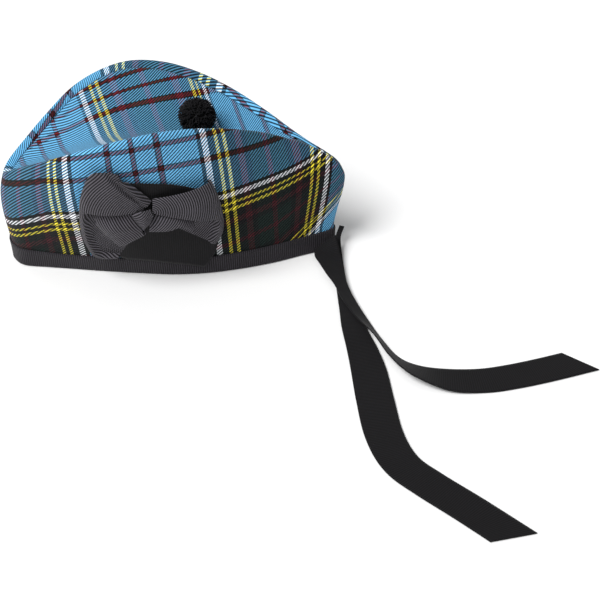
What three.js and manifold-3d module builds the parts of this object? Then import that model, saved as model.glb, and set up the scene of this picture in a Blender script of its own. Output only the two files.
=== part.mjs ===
// A glengarry: a boat-shaped tartan cap with a ribbon-bound rim, a bow, a toorie and two ribbon tails.
// Millimetres, +Z up. The front points to -X, the wearer's left side to -Y, and the rim stands on Z = 0.
import * as THREE from 'three';
import { mergeVertices } from 'three/addons/utils/BufferGeometryUtils.js';
import Module from 'manifold-3d';

// Driving sizes
const CLOTH = 2; // wall of the side panels and the crown
const RIBBON = 1; // thickness of the ribbon
const GAP = 0.3; // clear space between pieces that are sewn together
const EASE = 0.6; // clear space between the cloth and the binding folded over it
const BINDING_HEIGHT = 17; // how far the binding reaches up the outside
const BINDING_INSIDE = 10; // and up the inside
const ROLL = 3; // radius with which a side panel rolls over its ridge
const ROLL_REACH = 5; // cloth of the side panel that runs on past the roll
const CROWN_HOLLOW = 1.6; // power of the crown's hollow across the cap
const TOORIE = { radius: 15, x: 22.5, locks: 28, lockRadius: 5.4 };
const KNOT = { x: -16.5, z: 75, halfWidth: 7, halfHeight: 10, low: 3.8, high: 14, waist: 0.75, corner: 0.35 };
const BOW_LIFT = 2.2; // the bow's back sheet lies this far off the panel, clear of the binding

// One row for each section from the front seam to the back seam. Rim and ridge are on the outside of
// the left panel with Y as a half width, bulge is the swell in the panel's upper part, tuck how far its
// lower part is drawn in, and drop the depth of the crown's hollow.
const SECTIONS = [
  { rimX: -131.3, rimY: 0, ridgeX: -132.5, ridgeY: 0, ridgeZ: 77, bulge: 4, tuck: 0, drop: 0 },
  { rimX: -129, rimY: 10, ridgeX: -128.5, ridgeY: 11.5, ridgeZ: 82, bulge: 4, tuck: 0, drop: 0.5 },
  { rimX: -121, rimY: 19, ridgeX: -118, ridgeY: 23, ridgeZ: 91, bulge: 5, tuck: 0, drop: 4 },
  { rimX: -104, rimY: 22.5, ridgeX: -101, ridgeY: 40.5, ridgeZ: 104.5, bulge: 5, tuck: 0, drop: 11 },
  { rimX: -82, rimY: 26.2, ridgeX: -80, ridgeY: 58.5, ridgeZ: 119.3, bulge: 5, tuck: 0, drop: 18 },
  { rimX: -56, rimY: 30.9, ridgeX: -56, ridgeY: 67.4, ridgeZ: 130.5, bulge: 5, tuck: 0, drop: 23 },
  { rimX: -28, rimY: 35.3, ridgeX: -31, ridgeY: 68.8, ridgeZ: 137.3, bulge: 5, tuck: 0, drop: 26 },
  { rimX: 0, rimY: 38.6, ridgeX: -3, ridgeY: 61.3, ridgeZ: 139.1, bulge: 5, tuck: 0, drop: 27 },
  { rimX: 28, rimY: 37.8, ridgeX: 24, ridgeY: 50, ridgeZ: 135.3, bulge: 5, tuck: 0, drop: 25 },
  { rimX: 55, rimY: 32.8, ridgeX: 50, ridgeY: 36.7, ridgeZ: 127.3, bulge: 5, tuck: 0, drop: 19 },
  { rimX: 80, rimY: 25.7, ridgeX: 75, ridgeY: 22.3, ridgeZ: 115.8, bulge: 6, tuck: 0, drop: 8 },
  { rimX: 102, rimY: 17, ridgeX: 97, ridgeY: 11, ridgeZ: 102.6, bulge: 8, tuck: 1, drop: 0.6 },
  { rimX: 115, rimY: 12.2, ridgeX: 112, ridgeY: 5.5, ridgeZ: 93.3, bulge: 8, tuck: 2, drop: 0 },
  { rimX: 124, rimY: 8.8, ridgeX: 124, ridgeY: 4.4, ridgeZ: 85, bulge: 6, tuck: 3, drop: 0 },
  { rimX: 129.6, rimY: 5, ridgeX: 133.5, ridgeY: 3.2, ridgeZ: 77, bulge: 3, tuck: 3.5, drop: 0 },
  { rimX: 131.3, rimY: 0, ridgeX: 139, ridgeY: 0, ridgeZ: 67, bulge: 1, tuck: 4, drop: 0 },
];
const LAST = SECTIONS.length - 1;

// The bow's back sheet, from front to back: its lower and upper edge up the left panel.
const BACK_SHEET = [
  { x: -56, low: 28, high: 92 },
  { x: -36, low: 20.5, high: 101 },
  { x: -17, low: 18.5, high: 99 },
  { x: 2, low: 14.5, high: 97 },
  { x: 22, low: 9, high: 94 },
  { x: 31, low: 24, high: 90 },
  { x: 37, low: 42, high: 84 },
];

// The bow's two loops: which way each runs from the knot, the corners of its far end on the panel,
// how far that end bows out between them, how high the loop stands off the panel, and the powers with
// which its upper and lower edges spread from the knot.
const LOOPS = [
  {
    name: 'bow_loop_front',
    way: -1,
    top: { x: -55, z: 103, spread: 0.5 },
    low: { x: -56, z: 23, spread: 0.65 },
    bow: 11,
    rise: 12,
  },
  {
    name: 'bow_loop_back',
    way: 1,
    top: { x: 35, z: 103, spread: 0.9 },
    low: { x: 34, z: 38, spread: 0.6 },
    bow: 7,
    rise: 12,
  },
];
const LOOP_TURN = 5; // radius with which a loop turns back on itself
const LOOP_STRAIGHT = 0.7; // share of a loop's length before it turns
const LOOP_EDGE = 0.55; // height of a loop's edges, as a share of its middle's
const LOOP_ROOT = 0.7; // width of a loop where it goes under the knot, as a share of the knot's
const LOOP_START = 8.4; // height off the panel where a loop leaves the knot

// Routes of the tails on the surface: the edge on the back's side, the tilt of the ribbon's face in
// degrees, its open width, and how far the other edge runs ahead where the end is cut aslant.
const TAIL_ROUTES = {
  tail_near: [
    { x: 138.8, y: 1, z: 15.5, tilt: -4, width: 4.2, ahead: 0 },
    { x: 135.4, y: -7, z: 9, tilt: 0, width: 4.4, ahead: 0 },
    { x: 135.6, y: -27, z: 2.2, tilt: 4, width: 8, ahead: 0 },
    { x: 136, y: -49, z: 0.9, tilt: 5, width: 8.5, ahead: 0 },
    { x: 137, y: -68, z: 0.9, tilt: 6, width: 9.5, ahead: 0 },
    { x: 140, y: -85, z: 0.9, tilt: 12, width: 13, ahead: 0 },
    { x: 143.4, y: -102, z: 0.9, tilt: 12, width: 16.5, ahead: 0 },
    { x: 147, y: -122, z: 0.9, tilt: 10, width: 20, ahead: 0 },
    { x: 152.6, y: -146, z: 0.9, tilt: 4, width: 23.5, ahead: 0 },
    { x: 156.6, y: -171, z: 0.9, tilt: 0, width: 26, ahead: 0 },
    { x: 158.6, y: -205, z: 0.9, tilt: 0, width: 27, ahead: 0 },
    { x: 161, y: -240, z: 0.9, tilt: 0, width: 27, ahead: 0 },
    { x: 168, y: -266, z: 0.9, tilt: 0, width: 27, ahead: 0 },
    { x: 182, y: -284, z: 0.9, tilt: 0, width: 27, ahead: 0 },
    { x: 206, y: -309.6, z: 0.9, tilt: 0, width: 27, ahead: 0 },
    { x: 235, y: -342, z: 0.9, tilt: 0, width: 27, ahead: -16 },
  ],
  tail_far: [
    { x: 131, y: -11, z: 15, tilt: -30, width: 21, ahead: 0 },
    { x: 133, y: -20, z: 9.2, tilt: -17, width: 21, ahead: 0 },
    { x: 134.2, y: -32, z: 5.4, tilt: -5, width: 18.5, ahead: 0 },
    { x: 135, y: -49, z: 4, tilt: 2, width: 14.5, ahead: 0 },
    { x: 136.6, y: -66, z: 3.4, tilt: 8, width: 10.5, ahead: 0 },
    { x: 140.4, y: -84, z: 2.8, tilt: 14, width: 10.5, ahead: 0 },
    { x: 147.6, y: -108, z: 1.8, tilt: 22, width: 9.5, ahead: 0 },
    { x: 156.6, y: -134, z: 0.9, tilt: 46, width: 10, ahead: 0 },
    { x: 167, y: -157, z: 0.9, tilt: 34, width: 11, ahead: 0 },
    { x: 181, y: -168, z: 0.9, tilt: 20, width: 22, ahead: 0 },
    { x: 201, y: -173, z: 0.9, tilt: 5, width: 27, ahead: 0 },
    { x: 224, y: -174, z: 0.9, tilt: 0, width: 27, ahead: 0 },
    { x: 245, y: -170.5, z: 0.9, tilt: 0, width: 27, ahead: 0 },
    { x: 268, y: -164.4, z: 0.9, tilt: 0, width: 27, ahead: 0 },
    { x: 288, y: -158.2, z: 0.9, tilt: 0, width: 27, ahead: 16 },
  ],
};

// Numbers of facets
const PANEL_STEPS = 44;
const SIDE_STEPS = 7;
const ROLL_STEPS = 5;
const CROWN_ACROSS = 10;
const LOOP_STEPS = 14;
const LOOP_ACROSS = 8;
const TAIL_STEPS_PER_ROW = 3;

const vec = (x, y, z) => new THREE.Vector3(x, y, z);
const UP = vec(0, 0, 1);
const CUBIC_PEAK = 27 / 4; // brings the highest value of u * u * (1 - u) to 1
const lerp = THREE.MathUtils.lerp;
const clamp = THREE.MathUtils.clamp;
const rad = THREE.MathUtils.degToRad;
const span = (count) => Array.from({ length: count + 1 }, (_, i) => i / count);

// Catmull-Rom value of one column at position t along rows that pick(i) returns.
function spline(pick, column, t) {
  const i = Math.floor(t);
  const f = t - i;
  const [a, b, c, d] = [-1, 0, 1, 2].map((k) => pick(i + k)[column]);
  return b + 0.5 * f * (c - a + f * (2 * a - 5 * b + 4 * c - d + f * (3 * (b - c) + d - a)));
}

// A section's row; past either end the rows come back on the other side of the cap.
function sectionRow(i) {
  if (i >= 0 && i <= LAST) return SECTIONS[i];
  const row = SECTIONS[i < 0 ? -i : 2 * LAST - i];
  return { ...row, rimY: -row.rimY, ridgeY: -row.ridgeY };
}

function section(t) {
  const columns = Object.keys(SECTIONS[0]);
  return Object.fromEntries(columns.map((column) => [column, spline(sectionRow, column, t)]));
}

// Level unit vector out of the left panel, square to the line that place(section) draws.
function outward(t, place) {
  const step = 0.02;
  const a = place(section(t - step));
  const b = place(section(t + step));
  return vec(b.y - a.y, a.x - b.x, 0).normalize();
}

const ridgePlace = (s) => vec(s.ridgeX, -s.ridgeY, 0);
const middlePlace = (s) => vec((s.rimX + s.ridgeX) / 2, -(s.rimY + s.ridgeY) / 2, 0);

// Point of the left panel's outside between the rim (up = 0) and the start of the roll (up = 1).
function sidePoint(t, up) {
  const s = section(t);
  const rim = vec(s.rimX, -s.rimY, 0);
  const top = vec(s.ridgeX, -s.ridgeY, s.ridgeZ - ROLL);
  const down = 1 - up;
  const swell = CUBIC_PEAK * up * down * (s.bulge * up - s.tuck * down);
  return rim.lerp(top, up).addScaledVector(outward(t, middlePlace), swell);
}

// How steeply the crown falls away from its seam.
function crownSlope(s) {
  const half = Math.max(s.ridgeY - ROLL - ROLL_REACH, ROLL);
  return Math.atan((CROWN_HOLLOW * s.drop) / half);
}

// Point of the roll over the ridge, and of the cloth past it, from along = 0 to 1. It stops at the
// middle plane where the two panels meet.
function rollPoint(t, along) {
  const s = section(t);
  const out = outward(t, ridgePlace);
  const centre = vec(s.ridgeX, -s.ridgeY, s.ridgeZ - ROLL).addScaledVector(out, -ROLL);
  const slope = crownSlope(s);
  const at = (length) => {
    const turn = Math.min(length / ROLL, Math.PI / 2 + slope);
    const past = length - turn * ROLL;
    const outside = ROLL * Math.cos(turn) - past * Math.cos(slope);
    const above = ROLL * Math.sin(turn) - past * Math.sin(slope);
    return centre.clone().addScaledVector(out, outside).addScaledVector(UP, above);
  };
  const whole = ROLL * (Math.PI / 2 + slope) + ROLL_REACH;
  const onSeam = at(0).y > -GAP / 2;
  let length = whole;
  while (!onSeam && at(length).y > -GAP / 2) length -= 0.1;
  return at(along * length);
}

// The left panel's outside at one section, from its lower edge over the ridge to the crown's seam.
function panelProfile(t) {
  const foot = (RIBBON + 2 * EASE) / section(t).ridgeZ;
  const side = span(SIDE_STEPS).map((f) => sidePoint(t, lerp(foot, 1, f)));
  const roll = span(ROLL_STEPS).slice(1).map((f) => rollPoint(t, f));
  const profile = [...side, ...roll];
  profile.forEach((p) => (p.y = Math.min(p.y, -GAP / 2)));
  return profile;
}

// Unit normals of a grid of points, by its neighbours.
function gridNormals(grid) {
  return grid.map((row, i) =>
    row.map((_, j) => {
      const along = grid[Math.min(i + 1, grid.length - 1)][j].clone().sub(grid[Math.max(i - 1, 0)][j]);
      const across = row[Math.min(j + 1, row.length - 1)].clone().sub(row[Math.max(j - 1, 0)]);
      return along.cross(across).normalize();
    }),
  );
}

// A row of points cut where it crosses the middle plane, and spread over what is left.
function cutAtMiddle(row) {
  const past = row.findIndex((p, j) => j > SIDE_STEPS && p.y > -GAP / 2);
  if (past < 0) return row;
  const a = row[past - 1];
  const b = row[past];
  const end = past - 1 + clamp((-GAP / 2 - a.y) / (b.y - a.y), 0.05, 1);
  return row.map((p, j) => {
    if (j <= SIDE_STEPS) return p;
    const at = lerp(SIDE_STEPS, end, (j - SIDE_STEPS) / (row.length - 1 - SIDE_STEPS));
    const i = Math.min(Math.floor(at), row.length - 2);
    return row[i].clone().lerp(row[i + 1], at - i);
  });
}

// A closed geometry from vertices and triangles, turned to face outwards.
function solid(points, triangles) {
  const geometry = new THREE.BufferGeometry();
  const places = points.flatMap((p) => [p.x, p.y, p.z]);
  geometry.setAttribute('position', new THREE.Float32BufferAttribute(places, 3));
  const volume = triangles.reduce((sum, [a, b, c]) => {
    return sum + points[a].dot(points[b].clone().cross(points[c]));
  }, 0);
  geometry.setIndex(triangles.flatMap(([a, b, c]) => (volume < 0 ? [a, c, b] : [a, b, c])));
  return geometry;
}

// A sheet with thickness: the outside and inside grids and the four edges between them.
function sheet(outer, inner) {
  const rows = outer.length;
  const columns = outer[0].length;
  const points = [...outer.flat(), ...inner.flat()];
  const at = (side, i, j) => side * rows * columns + i * columns + j;
  const triangles = [];
  const quad = (a, b, c, d) => triangles.push([a, b, c], [a, c, d]);
  for (let i = 0; i < rows - 1; i += 1) {
    for (let j = 0; j < columns - 1; j += 1) {
      quad(at(0, i, j), at(0, i + 1, j), at(0, i + 1, j + 1), at(0, i, j + 1));
      quad(at(1, i, j), at(1, i, j + 1), at(1, i + 1, j + 1), at(1, i + 1, j));
    }
  }
  for (let i = 0; i < rows - 1; i += 1) {
    quad(at(0, i, 0), at(1, i, 0), at(1, i + 1, 0), at(0, i + 1, 0));
    quad(at(0, i, columns - 1), at(0, i + 1, columns - 1), at(1, i + 1, columns - 1), at(1, i, columns - 1));
  }
  for (let j = 0; j < columns - 1; j += 1) {
    quad(at(0, 0, j), at(0, 0, j + 1), at(1, 0, j + 1), at(1, 0, j));
    quad(at(0, rows - 1, j), at(1, rows - 1, j), at(1, rows - 1, j + 1), at(0, rows - 1, j + 1));
  }
  return solid(points, triangles);
}

// A solid swept through closed sections of equal count, either round in a ring or with flat ends.
function sweep(sections, ring) {
  const sides = sections[0].length;
  const count = sections.length;
  const triangles = [];
  for (let i = 0; i < (ring ? count : count - 1); i += 1) {
    const next = (i + 1) % count;
    for (let j = 0; j < sides; j += 1) {
      const k = (j + 1) % sides;
      triangles.push([i * sides + j, next * sides + j, next * sides + k]);
      triangles.push([i * sides + j, next * sides + k, i * sides + k]);
    }
  }
  for (let j = 1; !ring && j < sides - 1; j += 1) {
    const end = (count - 1) * sides;
    triangles.push([0, j, j + 1], [end, end + j + 1, end + j]);
  }
  return solid(sections.flat(), triangles);
}

const offsetGrid = (grid, normals, depth) =>
  grid.map((row, i) => row.map((p, j) => p.clone().addScaledVector(normals[i][j], depth)));

const mirrored = (grid) => grid.map((row) => row.map((p) => vec(p.x, -p.y, p.z)));

function panelGrids() {
  const outer = span(PANEL_STEPS).map((f) => panelProfile(f * LAST));
  const inner = offsetGrid(outer, gridNormals(outer), -CLOTH).map(cutAtMiddle);
  inner.flat().forEach((p) => (p.y = Math.min(p.y, -GAP / 2)));
  return [outer, inner];
}

// The crown's edge on the left, a gap away from the side panel's.
function crownSeam(t) {
  return rollPoint(t, 1).addScaledVector(outward(t, ridgePlace), -GAP);
}

// The crown's upper face hangs across between the seams, with its lowest line along the middle.
function crownPoint(t, across) {
  const seam = crownSeam(t);
  const hollow = section(t).drop * (1 - Math.abs(across) ** CROWN_HOLLOW);
  return vec(seam.x, -seam.y * across, seam.z - hollow);
}

// Positions of the crown's pointed ends, where its seams come close together.
function crownEnds() {
  const wide = (t) => -crownSeam(t).y > 1.2;
  let front = 0;
  let back = LAST;
  while (!wide(front)) front += 0.02;
  while (!wide(back)) back -= 0.02;
  return [front, back];
}

function crownGeometry() {
  const [front, back] = crownEnds();
  const between = span(PANEL_STEPS).map((f) => f * LAST).filter((t) => t > front && t < back);
  const upper = [front, ...between, back].map((t) => {
    return span(CROWN_ACROSS).map((g) => crownPoint(t, 2 * g - 1));
  });
  return sheet(upper, offsetGrid(upper, gridNormals(upper), -CLOTH));
}

// The binding is a ribbon folded over the rim: a channel that runs all the way round the edge.
function bindingGeometry() {
  const outside = EASE + RIBBON;
  const inside = -CLOTH - 1.5 * EASE;
  const corners = [
    [outside, 0],
    [outside, BINDING_HEIGHT],
    [EASE, BINDING_HEIGHT],
    [EASE, RIBBON],
    [inside, RIBBON],
    [inside, BINDING_INSIDE],
    [inside - RIBBON, BINDING_INSIDE],
    [inside - RIBBON, 0],
  ];
  const channel = (t) => {
    const out = outward(t, (s) => vec(s.rimX, -s.rimY, 0));
    return corners.map(([off, z]) => {
      const p = sidePoint(t, z / (section(t).ridgeZ - ROLL)).addScaledVector(out, off);
      return t > 0 && t < LAST ? p.setY(Math.min(p.y, -GAP)) : p.setY(0);
    });
  };
  const left = span(PANEL_STEPS).map((f) => channel(f * LAST));
  const right = mirrored(left.slice(1, -1)).reverse();
  return sweep([...left, ...right], true);
}

// Point at a height off the left panel, over its place at length x and level z.
function offPanel(x, z, height) {
  const upAt = (t) => z / (section(t).ridgeZ - ROLL);
  let low = 0;
  let high = LAST;
  while (high - low > 1e-4) {
    const t = (low + high) / 2;
    if (sidePoint(t, upAt(t)).x < x) low = t;
    else high = t;
  }
  const up = upAt(low);
  const along = sidePoint(low + 0.05, up).sub(sidePoint(low - 0.05, up));
  const rise = sidePoint(low, up + 0.02).sub(sidePoint(low, up - 0.02));
  return sidePoint(low, up).addScaledVector(along.cross(rise).normalize(), height);
}

function backSheetGeometry() {
  const stations = BACK_SHEET.slice(1).flatMap((row, i) =>
    span(3).slice(i ? 1 : 0).map((f) => {
      const before = BACK_SHEET[i];
      const between = (column) => lerp(before[column], row[column], f);
      return { x: between('x'), low: between('low'), high: between('high') };
    }),
  );
  const grid = (height) =>
    stations.map((s) => span(6).map((f) => offPanel(s.x, lerp(s.low, s.high, f), height)));
  return sheet(grid(BOW_LIFT + RIBBON), grid(BOW_LIFT));
}

// A loop runs out from the knot, rises, and turns back on itself at its far end.
function loopGeometry(loop) {
  const under = BOW_LIFT + RIBBON + GAP + 0.2;
  const start = { x: KNOT.x + loop.way * (KNOT.halfWidth + GAP), z: KNOT.z };
  const point = (a, b) => {
    const swell = 4 * b * (1 - b);
    const far = {
      x: lerp(loop.top.x, loop.low.x, b) + loop.way * loop.bow * swell,
      z: lerp(loop.top.z, loop.low.z, b),
    };
    const near = { x: start.x, z: start.z + KNOT.halfHeight * LOOP_ROOT * (1 - 2 * b) };
    const top = under + loop.rise * lerp(LOOP_EDGE, 1, swell);
    const run = Math.min(a / LOOP_STRAIGHT, 1);
    const turn = (Math.PI * Math.max(a - LOOP_STRAIGHT, 0)) / (1 - LOOP_STRAIGHT);
    const x = lerp(near.x, far.x - loop.way * LOOP_TURN, run) + loop.way * LOOP_TURN * Math.sin(turn);
    const z = lerp(near.z, far.z, run ** lerp(loop.top.spread, loop.low.spread, b));
    const rise = lerp(LOOP_START, top, Math.sin((run * Math.PI) / 2));
    return { x, z, height: turn > 0 ? lerp(under, top, (1 + Math.cos(turn)) / 2) : rise };
  };
  const outer = span(LOOP_STEPS).map((a) =>
    span(LOOP_ACROSS).map((b) => {
      const p = point(a, b);
      return offPanel(p.x, p.z, p.height);
    }),
  );
  return sheet(outer, offsetGrid(outer, gridNormals(outer), loop.way * RIBBON));
}

// The knot is a short band of ribbon across the middle of the bow, with rounded corners.
function knotGeometry() {
  const middle = (KNOT.low + KNOT.high) / 2;
  const sections = span(6).map((f) => {
    const z = KNOT.z + KNOT.halfHeight * (2 * f - 1);
    const plump = lerp(KNOT.waist, 1, Math.sin(Math.PI * f));
    return span(12).slice(1).map((g) => {
      const angle = 2 * Math.PI * g;
      const square = (value) => Math.sign(value) * Math.abs(value) ** KNOT.corner;
      const x = KNOT.x + KNOT.halfWidth * plump * square(Math.cos(angle));
      return offPanel(x, z, middle + ((KNOT.high - KNOT.low) / 2) * plump * square(Math.sin(angle)));
    });
  });
  return sweep(sections, false);
}

// One tail of ribbon along its route, as a thin strip.
function tailGeometry(rows) {
  const row = (i) => rows[clamp(i, 0, rows.length - 1)];
  const at = (t) => Object.fromEntries(Object.keys(rows[0]).map((column) => [column, spline(row, column, t)]));
  const last = rows.length - 1;
  const sections = span(last * TAIL_STEPS_PER_ROW).map((f) => {
    const t = f * last;
    const here = at(t);
    const a = at(Math.max(t - 0.1, 0));
    const b = at(Math.min(t + 0.1, last - 1e-6));
    const ahead = vec(b.x - a.x, b.y - a.y, b.z - a.z).normalize();
    const side = vec(ahead.y, -ahead.x, 0).normalize();
    const edge = vec(here.x, here.y, here.z);
    const tilt = rad(here.tilt);
    const reach = side.multiplyScalar(Math.cos(tilt)).addScaledVector(UP, Math.sin(tilt));
    const other = edge.clone().addScaledVector(reach, here.width).addScaledVector(ahead, here.ahead);
    const face = ahead.cross(reach).normalize().multiplyScalar(RIBBON / 2);
    return [edge.clone().add(face), other.clone().add(face), other.clone().sub(face), edge.clone().sub(face)];
  });
  return sweep(sections, false);
}

const wasm = await Module();
wasm.setup();

function toManifold(geometry) {
  const bare = geometry.clone();
  bare.deleteAttribute('normal');
  bare.deleteAttribute('uv');
  const merged = mergeVertices(bare);
  const mesh = { numProp: 3, vertProperties: merged.attributes.position.array, triVerts: merged.index.array };
  return new wasm.Manifold(new wasm.Mesh(mesh));
}

// The toorie is a ball of wool: rounded locks, spread evenly over a round head and fused to it.
function toorieGeometry() {
  const seat = TOORIE.radius - TOORIE.lockRadius;
  const golden = Math.PI * (3 - Math.sqrt(5));
  let ball = toManifold(new THREE.SphereGeometry(seat + TOORIE.lockRadius / 2, 14, 10));
  for (let i = 0; i < TOORIE.locks; i += 1) {
    const z = 1 - (2 * i + 1) / TOORIE.locks;
    const ring = Math.sqrt(1 - z * z);
    const lock = new THREE.SphereGeometry(TOORIE.lockRadius, 6, 4);
    lock.rotateX(i);
    lock.translate(seat * ring * Math.cos(golden * i), seat * ring * Math.sin(golden * i), seat * z);
    ball = ball.add(toManifold(lock));
  }
  const mesh = ball.getMesh();
  const geometry = new THREE.BufferGeometry();
  geometry.setAttribute('position', new THREE.Float32BufferAttribute(mesh.vertProperties, 3));
  geometry.setIndex(Array.from(mesh.triVerts));
  return geometry;
}

// Height of the crown's lowest line at length x.
function valleyHeight(x) {
  let [low, high] = crownEnds();
  while (high - low > 1e-4) {
    const t = (low + high) / 2;
    if (crownPoint(t, 0).x < x) low = t;
    else high = t;
  }
  return crownPoint(low, 0).z;
}

const tartan = new THREE.MeshStandardMaterial({ color: 0x3f9fd2, roughness: 0.9, metalness: 0 });
const black = new THREE.MeshStandardMaterial({ color: 0x1d1b20, roughness: 0.75, metalness: 0 });
const wool = new THREE.MeshStandardMaterial({ color: 0x0c0b0d, roughness: 0.95, metalness: 0 });

const cap = new THREE.Group();

function add(group, name, geometry, material) {
  const mesh = new THREE.Mesh(geometry, material);
  mesh.name = name;
  group.add(mesh);
  return mesh;
}

const [outer, inner] = panelGrids();
add(cap, 'side_left', sheet(outer, inner), tartan);
add(cap, 'side_right', sheet(mirrored(outer), mirrored(inner)), tartan);
add(cap, 'crown', crownGeometry(), tartan);
add(cap, 'binding', bindingGeometry(), black);
add(cap, 'bow_back', backSheetGeometry(), black);
LOOPS.forEach((loop) => add(cap, loop.name, loopGeometry(loop), black));
add(cap, 'bow_knot', knotGeometry(), black);
const toorie = add(cap, 'toorie', toorieGeometry(), wool);
toorie.position.set(TOORIE.x, 0, valleyHeight(TOORIE.x) + TOORIE.radius + GAP);

// The tails go in once the cap is centred over the origin, so that they don't move its middle.
const box = new THREE.Box3().setFromObject(cap);
cap.position.set(-(box.min.x + box.max.x) / 2, -(box.min.y + box.max.y) / 2, 0);
Object.entries(TAIL_ROUTES).forEach(([name, rows]) => add(cap, name, tailGeometry(rows), black));

export default cap;
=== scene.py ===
"""A glengarry in light blue tartan with a black bow, toorie and ribbon tails.

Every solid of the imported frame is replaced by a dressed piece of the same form.
"""
import math

import bpy
import numpy as np
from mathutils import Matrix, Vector


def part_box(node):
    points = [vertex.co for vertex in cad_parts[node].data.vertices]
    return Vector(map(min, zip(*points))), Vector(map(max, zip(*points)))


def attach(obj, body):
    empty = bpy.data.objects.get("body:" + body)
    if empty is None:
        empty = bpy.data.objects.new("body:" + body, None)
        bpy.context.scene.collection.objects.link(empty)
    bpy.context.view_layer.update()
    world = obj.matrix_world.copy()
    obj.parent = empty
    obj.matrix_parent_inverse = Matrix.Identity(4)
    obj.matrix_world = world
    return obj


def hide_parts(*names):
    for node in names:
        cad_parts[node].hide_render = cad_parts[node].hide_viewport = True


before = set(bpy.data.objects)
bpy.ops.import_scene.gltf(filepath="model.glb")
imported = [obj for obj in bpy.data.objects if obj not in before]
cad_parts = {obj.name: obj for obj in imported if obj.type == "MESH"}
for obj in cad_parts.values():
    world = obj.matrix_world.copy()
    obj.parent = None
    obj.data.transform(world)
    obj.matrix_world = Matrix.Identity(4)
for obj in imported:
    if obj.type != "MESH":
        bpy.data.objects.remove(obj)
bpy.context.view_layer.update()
MM = 0.001

# Driving sizes as in the part's source, in millimetres apart from the powers of the curves
CLOTH = 2.0
RIBBON = 0.8
GAP = 0.3
EASE = 0.5
BINDING_HEIGHT = 17.0
BINDING_INSIDE = 10.0
ROLL = 3.0
ROLL_REACH = 5.0
CROWN_HOLLOW = 1.6
CUBIC_PEAK = 27 / 4
TOORIE_RADIUS = 15.0

# Where the cloth starts inside the binding, and how deep and how far out a seam pulls it in
CLOTH_FOOT = 2.5
SEAM_DIP = 0.6
SEAM_REACH = 1.6

# Spacing of the ribs on each ribbon and of the threads in the tartan
BOW_RIB_PITCH = 1.65
BAND_RIB_PITCH = 1.75
TAIL_RIB_PITCH = 1.6
WARP_PITCH = 0.61
ROLL_WEFT_PITCH = 0.66
WARP_THREAD = 0.86
WEFT_THREAD = 0.69

# How finely the dressed pieces are divided
STATIONS = 241
PANEL_COLUMNS = 64
TOP_COLUMN = PANEL_COLUMNS - 1
ROLL_COLUMNS = 16
CROWN_COLUMNS = 81
PLAN_STEPS = 601
TAIL_STEPS = 14
TAIL_COLUMNS = 15
TAIL_MIDDLE = TAIL_COLUMNS // 2
LOOP_STEPS = 90
FOLD_STEPS = 40

# One row for each section from the front seam to the back seam: rim x, rim half width, ridge x,
# ridge half width, ridge height, swell of the upper part, draw of the lower part, depth of the crown.
SECTIONS = np.array([
    (-131.3, 0, -132.5, 0, 77, 4, 0, 0),
    (-129, 10, -128.5, 11.5, 82, 4, 0, 0.5),
    (-121, 19, -118, 23, 91, 5, 0, 4),
    (-104, 22.5, -101, 40.5, 104.5, 5, 0, 11),
    (-82, 26.2, -80, 58.5, 119.3, 5, 0, 18),
    (-56, 30.9, -56, 67.4, 130.5, 5, 0, 23),
    (-28, 35.3, -31, 68.8, 137.3, 5, 0, 26),
    (0, 38.6, -3, 61.3, 139.1, 5, 0, 27),
    (28, 37.8, 24, 50, 135.3, 5, 0, 25),
    (55, 32.8, 50, 36.7, 127.3, 5, 0, 19),
    (80, 25.7, 75, 22.3, 115.8, 6, 0, 8),
    (102, 17, 97, 11, 102.6, 8, 1, 0.6),
    (115, 12.2, 112, 5.5, 93.3, 8, 2, 0),
    (124, 8.8, 124, 4.4, 85, 6, 3, 0),
    (129.6, 5, 133.5, 3.2, 77, 3, 3.5, 0),
    (131.3, 0, 139, 0, 67, 1, 4, 0),
], float)
LAST = len(SECTIONS) - 1
RIM_X, RIM_Y, RIDGE_X, RIDGE_Y, RIDGE_Z, BULGE, TUCK, DROP = range(8)

# Routes of the tails: the edge on the back's side (x, y, z), the tilt of the ribbon's face in degrees,
# its open width, and how far the other edge runs ahead where the end is cut aslant.
TAIL_ROUTES = {
    "tail_near": [
        (138.8, 1, 15.5, -4, 4.2, 0),
        (135.4, -7, 9, 0, 4.4, 0),
        (135.6, -27, 2.2, 4, 8, 0),
        (136, -49, 0.9, 5, 8.5, 0),
        (137, -68, 0.9, 6, 9.5, 0),
        (140, -85, 0.9, 12, 13, 0),
        (143.4, -102, 0.9, 12, 16.5, 0),
        (147, -122, 0.9, 10, 20, 0),
        (152.6, -146, 0.9, 4, 23.5, 0),
        (156.6, -171, 0.9, 0, 26, 0),
        (158.6, -205, 0.9, 0, 27, 0),
        (161, -240, 0.9, 0, 27, 0),
        (168, -266, 0.9, 0, 27, 0),
        (182, -284, 0.9, 0, 27, 0),
        (206, -309.6, 0.9, 0, 27, 0),
        (235, -342, 0.9, 0, 27, -16),
    ],
    "tail_far": [
        (131, -11, 15, -30, 21, 0),
        (133, -20, 9.2, -17, 21, 0),
        (134.2, -32, 5.4, -5, 18.5, 0),
        (135, -49, 4, 2, 14.5, 0),
        (136.6, -66, 3.4, 8, 10.5, 0),
        (140.4, -84, 2.8, 14, 10.5, 0),
        (147.6, -108, 1.8, 22, 9.5, 0),
        (156.6, -134, 0.9, 46, 10, 0),
        (167, -157, 0.9, 34, 11, 0),
        (181, -168, 0.9, 20, 22, 0),
        (201, -173, 0.9, 5, 27, 0),
        (224, -174, 0.9, 0, 27, 0),
        (245, -170.5, 0.9, 0, 27, 0),
        (268, -164.4, 0.9, 0, 27, 0),
        (288, -158.2, 0.9, 0, 27, 16),
    ],
}


def smooth(value, start, end):
    """Smooth step from 0 at start to 1 at end."""
    f = np.clip((np.asarray(value, float) - start) / (end - start), 0, 1)
    return f * f * (3 - 2 * f)


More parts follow.
